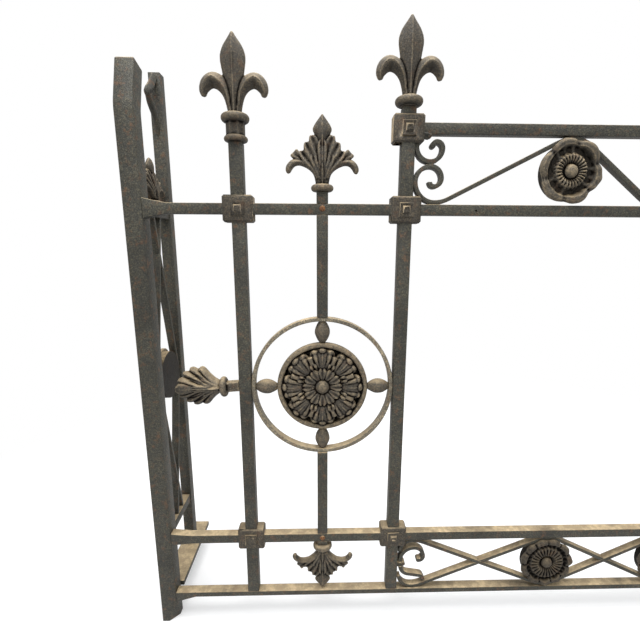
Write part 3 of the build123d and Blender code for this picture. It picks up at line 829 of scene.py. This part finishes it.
def scroll_ends(node):
    """Middle and depth of each small face that ends a scroll bar, square to the bar."""
    bm = merged(node)
    found = []
    for face in bm.faces:
        if len(face.verts) != 4 or face.calc_area() > 220 * MM * MM:
            continue
        if min(e.calc_face_angle(0) for e in face.edges) > math.radians(60):
            rows = [v.co.y for v in face.verts]
            found.append((face.calc_center_median(), max(rows) - min(rows)))
    bm.free()
    return found


class RAILING_OT_wall_posts(bpy.types.Operator):
    """Model the wall posts with the thorn forged at their heads"""

    bl_idname = "railing.wall_posts"
    bl_label = "Wall posts"

    def execute(self, context):
        low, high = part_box("left_wall_post")
        wide = high.x - low.x
        bm = bmesh.new()
        bar = bmesh.ops.create_cube(bm, size=1.0)["verts"]
        bmesh.ops.scale(bm, vec=(wide, wide, high.z - low.z), verts=bar)
        bmesh.ops.translate(bm, vec=((low.x + high.x) / 2, high.y - wide / 2, (low.z + high.z) / 2),
                            verts=bar)
        bevel(bm, bm.edges[:], context.scene.railing_bars.edge, 2)
        reach = (high.y - low.y - wide) / MM
        before = set(bm.verts)
        petal(bm, smooth_path([(-3, 0, 18, 14), (-12, 14, 22, 15), (-26, 28, 21, 15),
                               (6 - reach, 40, 14, 12), (4 - reach, 50, 6, 6)], 4), "ridge")
        petal(bm, smooth_path([(8 - reach, 42, 8, 10), (-30, 58, 16, 13), (-13, 76, 14, 12),
                               (-3, 98, 9, 10), (2, 116, 5, 6)], 4), "round")
        thorn = [v for v in bm.verts if v not in before]
        bmesh.ops.scale(bm, vec=(1, 1, -1), verts=thorn)
        bmesh.ops.rotate(bm, matrix=Matrix.Rotation(QUARTER, 3, "Z"), verts=thorn)
        bmesh.ops.translate(bm, vec=((low.x + high.x) / 2, high.y - wide, high.z - 10 * MM),
                            verts=thorn)
        piece = finish_piece(bm, "left_wall_post_iron", wrought(), ["left_wall_post"], 40)
        pair(piece, "left_wall_post", "_iron", wrought(), BAR)
        return {"FINISHED"}


class RAILING_OT_fittings(bpy.types.Operator):
    """Add the rivets, scroll eyes and weld lumps"""

    bl_idname = "railing.fittings"
    bl_label = "Rivets and welds"

    def execute(self, context):
        sizes = context.scene.railing_bars
        bm = bmesh.new()
        spots = []
        for side in ("left", "right"):
            x = centre(side + "_middle_bar_top").x
            spots.append((x, centre("upper_rail").z + 0.001))
            spots.append((x, centre("lower_rail").z))
        for x, z in spots:
            dome = bmesh.ops.create_uvsphere(bm, u_segments=20, v_segments=10, radius=sizes.rivet)
            bmesh.ops.scale(bm, vec=(1, 0.6, 1), verts=dome["verts"])
            bmesh.ops.translate(bm, vec=(x, y_face, z), verts=dome["verts"])
            for v in dome["verts"]:
                v.co += 0.0004 * noise.noise_vector(v.co * 220)
        finish_piece(bm, "rivets", rusted(), [])
        bm = bmesh.new()
        for node in ("top_frieze_spirals", "lower_frieze_scrolls"):
            for at, deep in scroll_ends(node):
                eye = bmesh.ops.create_cone(bm, cap_ends=True, segments=20, radius1=sizes.eye,
                                            radius2=sizes.eye, depth=deep - 0.6 * MM)["verts"]
                bmesh.ops.rotate(bm, matrix=Matrix.Rotation(QUARTER, 3, "X"), verts=eye)
                bmesh.ops.translate(bm, vec=at, verts=eye)
        rims = [e for e in bm.edges if e.calc_face_angle(0) > 1]
        bevel(bm, rims, 2 * MM, 3)
        finish_piece(bm, "scroll_eyes", wrought(), [], 40)
        bm = bmesh.new()
        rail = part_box("top_rail")[0]
        lump = bmesh.ops.create_icosphere(bm, subdivisions=4, radius=9 * MM)["verts"]
        bmesh.ops.scale(bm, vec=(1.3, 0.9, 1.0), verts=lump)
        for v in lump:
            v.co += 0.003 * noise.noise_vector(v.co * 160)
        bmesh.ops.translate(bm, vec=(x_post["left_inner"] + 35 * MM, rail.y + 7 * MM,
                                     rail.z + 2 * MM), verts=lump)
        finish_piece(bm, "weld_lump", wrought(), [])
        return {"FINISHED"}


class RAILING_OT_fleurs(bpy.types.Operator):
    """Model the fleur-de-lis finials"""

    bl_idname = "railing.fleurs"
    bl_label = "Fleur-de-lis finials"

    def execute(self, context):
        for which, neck in (("outer", 41), ("inner", 10)):
            node = "left_" + which + "_fleur"
            casting(node, fleur_form(neck), Matrix.Translation(foot(node)))
        return {"FINISHED"}


class RAILING_OT_leaves(bpy.types.Operator):
    """Model the leaf finials, pendants and side leaves"""

    bl_idname = "railing.leaves"
    bl_label = "Leaf castings"

    def execute(self, context):
        collar = Vector((0, 0, COLLAR_HALF * MM))
        node = "left_leaf_finial"
        casting(node, leaf_form(130, 132), Matrix.Translation(foot(node) + collar))
        node = "left_pendant_leaf"
        low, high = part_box(node)
        at = Vector((centre(node).x, centre(node).y, high.z - COLLAR_HALF * MM))
        casting(node, leaf_form((at.z - low.z) / MM, 132),
                Matrix.Translation(at) @ Matrix.Rotation(math.pi, 4, "Y"))
        node = "left_return_leaf"
        casting(node, leaf_form(92, 118), Matrix.Translation(foot(node) + collar)
                @ Matrix.Rotation(QUARTER, 4, "Z"))
        # The side leaf stands out on a square stub and droops a little
        node = "left_side_leaf"
        at = Vector((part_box(node)[1].x - SIDE_COLLAR * MM, centre("left_middle_bar_top").y,
                     centre("left_ring").z))
        bm = leaf_form(104, 104, fold=0.45, tip=False)
        stub = bmesh.ops.create_cone(bm, cap_ends=True, segments=4, radius1=14 * MM,
                                     radius2=14 * MM, depth=34 * MM)["verts"]
        bmesh.ops.rotate(bm, matrix=Matrix.Rotation(math.pi / 4, 3, "Z"), verts=stub)
        bmesh.ops.translate(bm, vec=(0, 0, -15.4 * MM), verts=stub)
        casting(node, bm, Matrix.Translation(at) @ Matrix.Rotation(-QUARTER - DROOP, 4, "Y"))
        return {"FINISHED"}


class RAILING_OT_rosettes(bpy.types.Operator):
    """Model the frieze and return rosettes"""

    bl_idname = "railing.rosettes"
    bl_label = "Rosettes"

    def execute(self, context):
        sizes = context.scene.railing_castings
        fine = sizes.petals * 2 - 1
        for node, turn, spin, petals, rib_end, cup, notch in (
            ("left_top_rosette", 0, 0.2, sizes.petals, 34, 10.0, 5.0),
            ("left_low_rosette", 0, 0.45, fine, 42, 6.0, 4.0),
            ("left_return_rosette", -90, 0.1, sizes.petals, 34, 10.0, 5.0),
        ):
            bm = rosette_form(61.0, petals, sizes.ribs, rib_end, cup, notch)
            drum = bmesh.ops.create_cone(bm, cap_ends=True, segments=72, radius1=53 * MM,
                                         radius2=53 * MM, depth=16 * MM)["verts"]
            bmesh.ops.rotate(bm, matrix=Matrix.Rotation(QUARTER, 3, "X"), verts=drum)
            bmesh.ops.translate(bm, vec=(0, 9 * MM, 0), verts=drum)
            bm.verts.index_update()
            shaded_drum = [v.index for v in drum]
            at = centre(node)
            if turn:
                at.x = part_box(node)[0].x + ROSETTE_BACK * MM
            else:
                at.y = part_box(node)[0].y + ROSETTE_BACK * MM
            place(bm, Matrix.Translation(at) @ Matrix.Rotation(math.radians(turn), 4, "Z")
                  @ Matrix.Rotation(spin, 4, "Y"))
            metal = darkest_cast() if node == "left_low_rosette" else cast()
            piece = finish_piece(bm, node + "_cast", metal, [node], 50)
            relief(piece, 9.0)
            # Painted shade: the drum behind the petals is marked sunk, so its iron is darkened
            # toward the recess colour
            values = piece.data.attributes["relief"].data
            for i in shaded_drum:
                values[i].value = 0.3
            pair(piece, node, "_cast", metal, ORNAMENT)
        return {"FINISHED"}


class RAILING_OT_medallions(bpy.types.Operator):
    """Model the carved medallions and the olive beads round them"""

    bl_idname = "railing.medallions"
    bl_label = "Medallions"

    def execute(self, context):
        sizes = context.scene.railing_castings
        node = "left_medallion"
        low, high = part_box(node)
        casting(node, medallion_form((high.x - low.x) / 2 / MM, sizes.leaves),
                Matrix.Translation(centre(node)), 8.0, 1)
        node = "left_ring_beads"
        low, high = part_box(node)
        half = ((high.x - low.x) / 2 / MM - MEDALLION_RIM) / 2
        bm = bmesh.new()
        rows = []
        for i in range(25):
            t = -1 + 2 * i / 24
            rows.append((6.2 + 9.2 * math.cos(math.pi / 2 * t) ** 0.9, t * half))
        rows = [(0, -half)] + rows + [(0, half)]
        turned(bm, rows, 40)
        bmesh.ops.translate(bm, vec=(0, 0, (MEDALLION_RIM + half) * MM), verts=bm.verts)
        round_about(bm, everything(bm), 4)
        place(bm, Matrix.Translation(centre(node)))
        for v in bm.verts:
            v.co += 0.0005 * noise.noise_vector(v.co * 90)
        piece = finish_piece(bm, node + "_cast", cast(), [node])
        relief(piece, 6.0)
        pair(piece, node, "_cast", cast(), ORNAMENT)
        return {"FINISHED"}


class RAILING_OT_clamps(bpy.types.Operator):
    """Round the cast collar blocks over the crossings"""

    bl_idname = "railing.clamps"
    bl_label = "Collar blocks"

    def execute(self, context):
        for node in [n for n in nodes if "clamps" in n]:
            bm = merged(node)
            sharp = [e for e in bm.edges if len(e.link_faces) == 2
                     and e.calc_face_angle(0) > math.radians(20)]
            outer = [e for e in sharp if e.calc_length() > 45 * MM]
            fine = [e for e in sharp if e.calc_length() <= 45 * MM and e.calc_length() > 8 * MM]
            for edges, offset in ((outer, 3.6 * MM), (fine, 1.3 * MM)):
                edges = [e for e in edges if e.is_valid]
                bevel(bm, edges, offset, 3, clamp_overlap=True)
            piece = finish_piece(bm, node + "_cast", cast(), [node], 40)
            mesh = piece.data
            mesh.attributes.new("relief", "FLOAT", "POINT")
            for vertex, value in zip(mesh.vertices, mesh.attributes["relief"].data):
                value.value = 0.5 + 0.06 * noise.noise(vertex.co * 300)
        return {"FINISHED"}


class RAILING_OT_stage(bpy.types.Operator):
    """Set the floor, backdrop, daylight and camera"""

    bl_idname = "railing.stage"
    bl_label = "Stage"

    def execute(self, context):
        scene = context.scene
        scene.view_settings.view_transform = "Standard"
        # Pale floor that catches the contact shadow
        bm = bmesh.new()
        bmesh.ops.create_grid(bm, x_segments=1, y_segments=1, size=30)
        mesh = bpy.data.meshes.new("floor")
        bm.to_mesh(mesh)
        bm.free()
        floor = bpy.data.objects.new("floor", mesh)
        context.collection.objects.link(floor)
        paint = bpy.data.materials.new("pale_floor")
        paint.use_nodes = True
        tree = paint.node_tree
        tree.nodes.clear()
        matte = add(tree, "ShaderNodeBsdfDiffuse", None, Color=(0.72, 0.72, 0.72, 1)).outputs[0]
        pale = add(tree, "ShaderNodeBsdfDiffuse", None, Color=(0.8, 0.8, 0.8, 1)).outputs[0]
        glow = add(tree, "ShaderNodeEmission", None, Color=(1, 1, 1, 1), Strength=0.36).outputs[0]
        white = add(tree, "ShaderNodeEmission", None, Color=(1, 1, 1, 1), Strength=1.0).outputs[0]
        seen = shown_rays(tree)
        near = add(tree, "ShaderNodeAddShader", None, _0=matte, _1=glow).outputs[0]
        spot = add(tree, "ShaderNodeNewGeometry").outputs["Position"]
        away = add(tree, "ShaderNodeVectorMath", {"operation": "DISTANCE"}, _0=spot,
                   _1=(0.8, 0.1, 0.0)).outputs["Value"]
        shown = add(tree, "ShaderNodeMixShader", None, _0=ramp(tree, away, 1.2, 1.9), _1=near,
                    _2=white).outputs[0]
        both = add(tree, "ShaderNodeMixShader", None, _0=seen, _1=pale, _2=shown)
        out = add(tree, "ShaderNodeOutputMaterial")
        tree.links.new(both.outputs[0], out.inputs[0])
        mesh.materials.append(paint)
        # White backdrop, softer light on the object
        world = bpy.data.worlds.new("daylight")
        scene.world = world
        world.use_nodes = True
        tree = world.node_tree
        tree.nodes.clear()
        seen = shown_rays(tree)
        sky = mix(tree, seen, (0.4, 0.41, 0.42, 1), (1, 1, 1, 1))
        back = add(tree, "ShaderNodeBackground", None, Color=sky, Strength=1.0)
        out = add(tree, "ShaderNodeOutputWorld")
        tree.links.new(back.outputs[0], out.inputs[0])
        for name, place_at, aim, size, power in (
            ("overhead", (0.4, -0.6, 3.4), (0.7, 0.0, 0.6), 2.2, 150.0),
            ("front_fill", (-0.8, -3.0, 1.8), (0.6, 0.0, 0.7), 2.4, 18.0),
        ):
            light = bpy.data.lights.new(name, "AREA")
            light.shape = "SQUARE"
            light.size = size
            light.energy = power
            lamp = bpy.data.objects.new(name, light)
            lamp.location = place_at
            aimed = Vector(aim) - Vector(place_at)
            lamp.rotation_euler = aimed.to_track_quat("-Z", "Y").to_euler()
            context.collection.objects.link(lamp)
        # The photograph's viewpoint
        eye = bpy.data.cameras.new("camera")
        eye.sensor_width = 36.0
        eye.lens = FOCAL / FRAME * eye.sensor_width
        eye.shift_x = (FRAME / 2 - CENTRE_X) / FRAME
        eye.shift_y = (CENTRE_Y - FRAME / 2) / FRAME
        eye.clip_start = 0.01
        eye.dof.use_dof = False
        camera = bpy.data.objects.new("camera", eye)
        context.collection.objects.link(camera)
        scene.camera = camera
        # Right, down and forward axes turned by the yaw, pitch and roll read off the photograph
        base = Matrix(((1, 0, 0), (0, 0, -1), (0, 1, 0)))
        yaw = Matrix.Rotation(YAW, 3, "Y").transposed()
        pitch = Matrix.Rotation(PITCH, 3, "X")
        roll = Matrix.Rotation(ROLL, 3, "Z")
        axes = roll @ pitch @ yaw @ base
        turn = Matrix((axes[0], -axes[1], -axes[2])).transposed().to_4x4()
        camera.matrix_world = Matrix.Translation(EYE) @ turn
        return {"FINISHED"}


class RAILING_PT_panel(bpy.types.Panel):
    """Railing tools."""

    bl_label = "Railing"
    bl_idname = "RAILING_PT_panel"
    bl_space_type = "VIEW_3D"
    bl_region_type = "UI"
    bl_category = "Railing"

    def draw(self, context):
        scene = context.scene
        for group in (scene.railing_bars, scene.railing_castings, scene.railing_colours):
            box = self.layout.box()
            for key in group.__annotations__:
                box.prop(group, key)
        for kind in OPERATORS:
            self.layout.operator(kind.bl_idname)


OPERATORS = (RAILING_OT_bars, RAILING_OT_wall_posts, RAILING_OT_fittings, RAILING_OT_clamps,
             RAILING_OT_fleurs, RAILING_OT_leaves, RAILING_OT_rosettes, RAILING_OT_medallions,
             RAILING_OT_stage)
GROUPS = (RailingBars, RailingCastings, RailingColours)


def register():
    for kind in GROUPS + OPERATORS + (RAILING_PT_panel,):
        bpy.utils.register_class(kind)
    bpy.types.Scene.railing_bars = bpy.props.PointerProperty(type=RailingBars)
    bpy.types.Scene.railing_castings = bpy.props.PointerProperty(type=RailingCastings)
    bpy.types.Scene.railing_colours = bpy.props.PointerProperty(type=RailingColours)


def unregister():
    del bpy.types.Scene.railing_colours
    del bpy.types.Scene.railing_castings
    del bpy.types.Scene.railing_bars
    for kind in reversed(GROUPS + OPERATORS + (RAILING_PT_panel,)):
        bpy.utils.unregister_class(kind)


def main():
    register()
    bpy.ops.railing.bars()
    bpy.ops.railing.wall_posts()
    bpy.ops.railing.fittings()
    bpy.ops.railing.clamps()
    bpy.ops.railing.fleurs()
    bpy.ops.railing.leaves()
    bpy.ops.railing.rosettes()
    bpy.ops.railing.medallions()
    bpy.ops.railing.stage()


if __name__ == "__main__":
    main()
